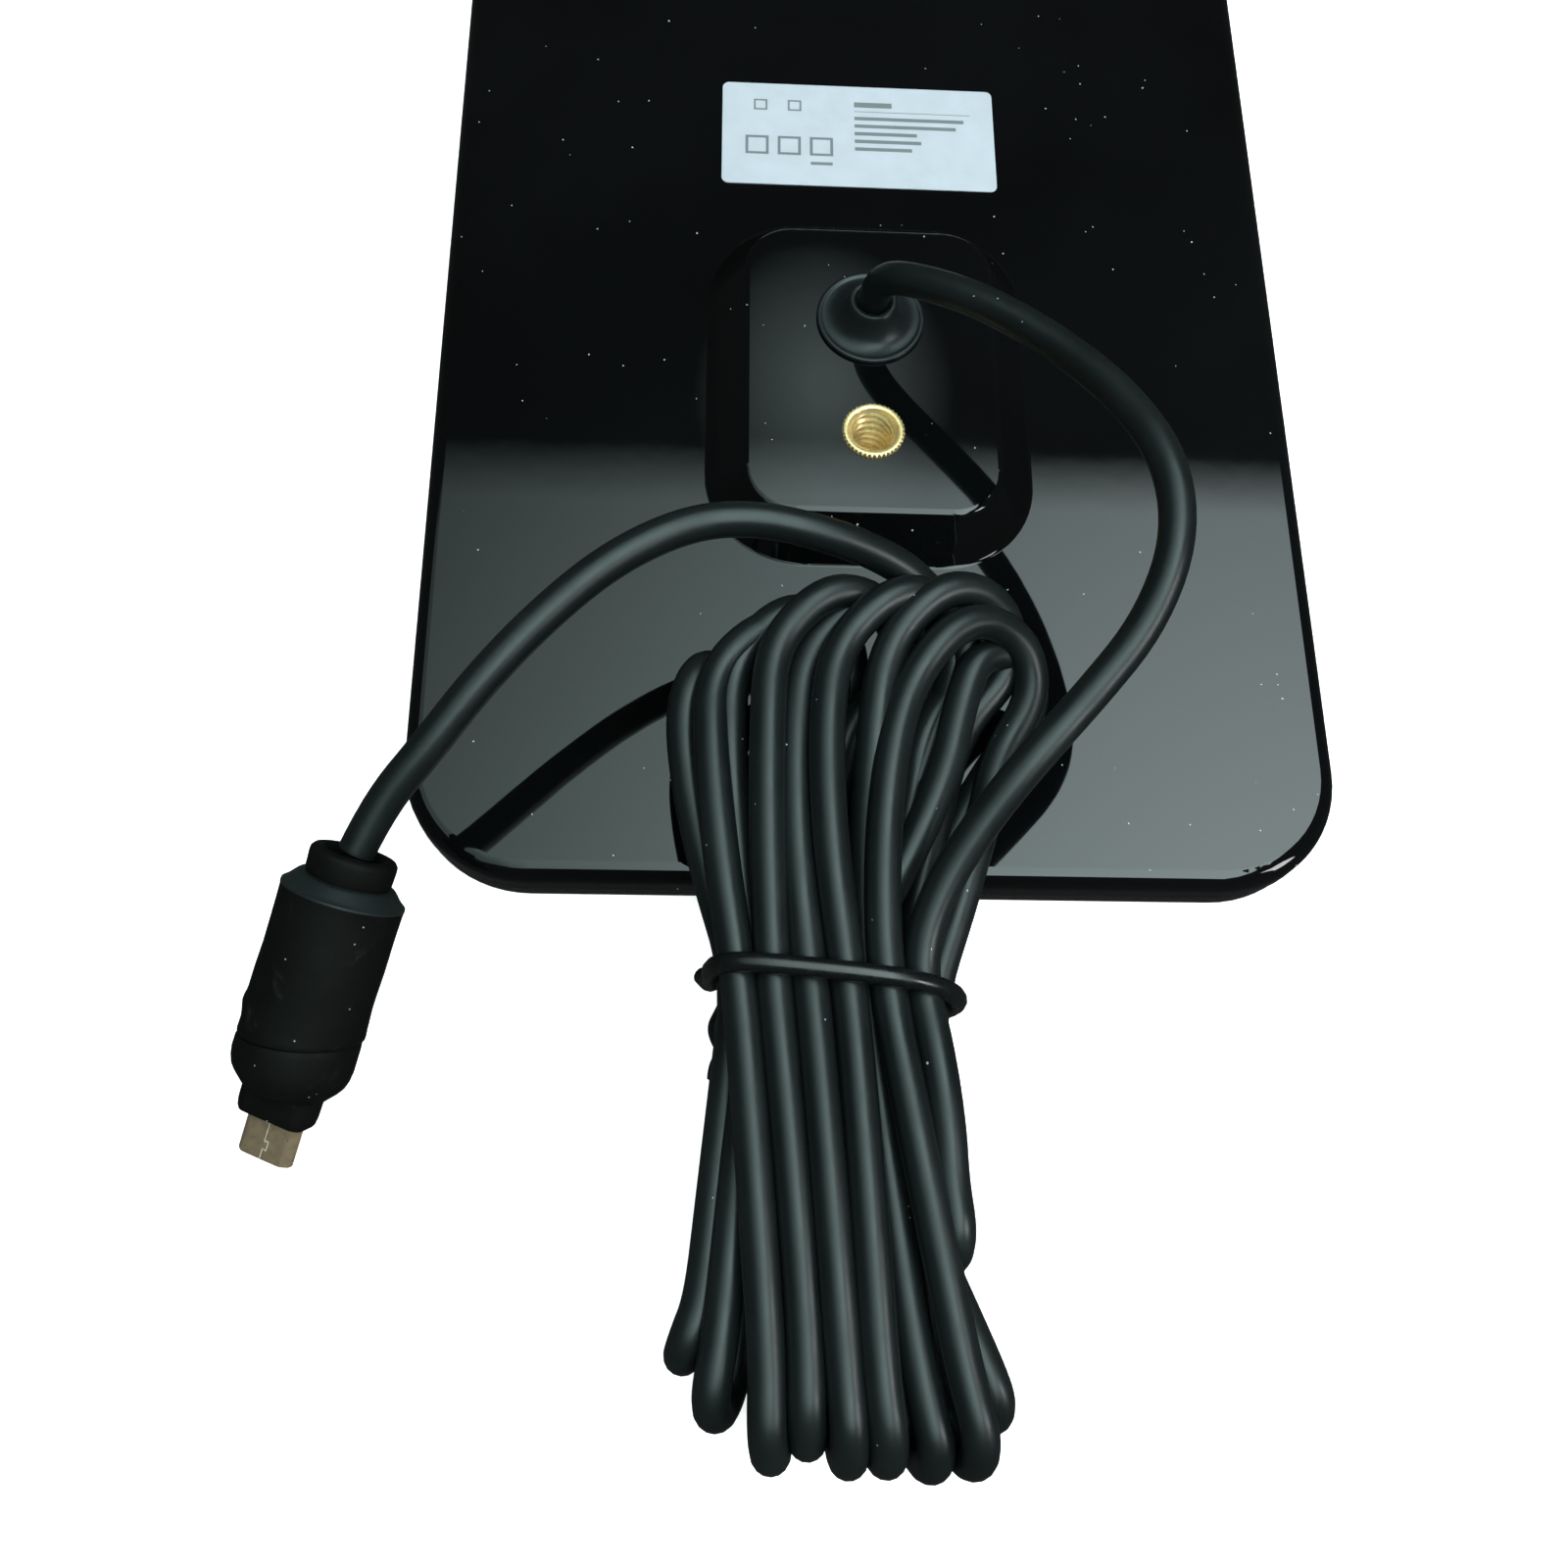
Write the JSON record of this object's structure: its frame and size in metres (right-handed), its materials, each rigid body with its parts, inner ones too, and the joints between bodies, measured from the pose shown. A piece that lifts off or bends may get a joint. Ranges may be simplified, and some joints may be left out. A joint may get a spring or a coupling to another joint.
{
  "type": "solar charging panel",
  "caption": "Small solar charging panel for a battery camera, lying face down: glossy rear shell, raised boss with threaded insert and grommet, hanked charging cord with micro plug.",
  "frame": {"origin": "middle of the panel's light-collecting face, which lies on the ground plane Z = 0", "axes": "+Z out of the glossy rear face, +Y along the panel away from the cord's hank, +X to the right when the hank is nearest the viewer"},
  "size_m": [0.1331, 0.259, 0.0394],
  "materials": {
    "board_green": "solder-masked laminate",
    "brass": "bright turned brass",
    "component_black": "moulded epoxy",
    "component_tan": "ceramic chip",
    "connector_steel": "nickel plated, warm tint",
    "contact_gold": "gold plated",
    "cord_jacket": "soft matt sheen",
    "cover_sheet": "clear dimpled sheet",
    "encapsulant": "clear film",
    "gloss_shell": "piano black gloss",
    "grommet_rubber": "soft sheen",
    "label": "satin sticker",
    "matt_frame": "fine satin",
    "nylon_white": "natural nylon",
    "plug_moulding": "matt moulding",
    "plug_rubber": "matt, dusty",
    "screw_steel": "zinc plated",
    "sealant": "matt",
    "solar_cell": "dark blue wafer",
    "tie_plastic": "coated wire, satin",
    "tinned_copper": "tinned",
    "wire_black": "insulation",
    "wire_red": "insulation"
  },
  "bodies": {
    "root": {"anchor_tie": "nylon_white", "backing_board": "board_green", "blocking_diode": "component_black", "board_screws": "screw_steel", "brass_insert": "brass", "cable_grommet": "grommet_rubber", "cell_ribbons": "tinned_copper", "cord_core_negative": "wire_black", "cord_core_positive": "wire_red", "cord_hank": "cord_jacket", "cord_inner_end": "cord_jacket", "cord_lead": "cord_jacket", "cord_tail": "cord_jacket", "cover_sheet": "cover_sheet", "filter_capacitor": "component_tan", "front_film": "encapsulant", "front_frame": "matt_frame", "junction_board": "board_green", "panel_terminals": "tinned_copper", "panel_wire_negative": "wire_black", "panel_wire_positive": "wire_red", "plug_inner_body": "plug_moulding", "plug_sleeve": "plug_rubber", "rating_label": "label", "rear_film": "encapsulant", "rear_housing": "gloss_shell", "seal_bead": "sealant", "solar_cell_1": "solar_cell", "solar_cell_10": "solar_cell", "solar_cell_11": "solar_cell", "solar_cell_12": "solar_cell", "solar_cell_2": "solar_cell", "solar_cell_3": "solar_cell", "solar_cell_4": "solar_cell", "solar_cell_5": "solar_cell", "solar_cell_6": "solar_cell", "solar_cell_7": "solar_cell", "solar_cell_8": "solar_cell", "solar_cell_9": "solar_cell", "twist_tie": "tie_plastic", "usb_contacts": "contact_gold", "usb_insulator": "component_black", "usb_shell": "connector_steel"}
  },
  "joints": []
}
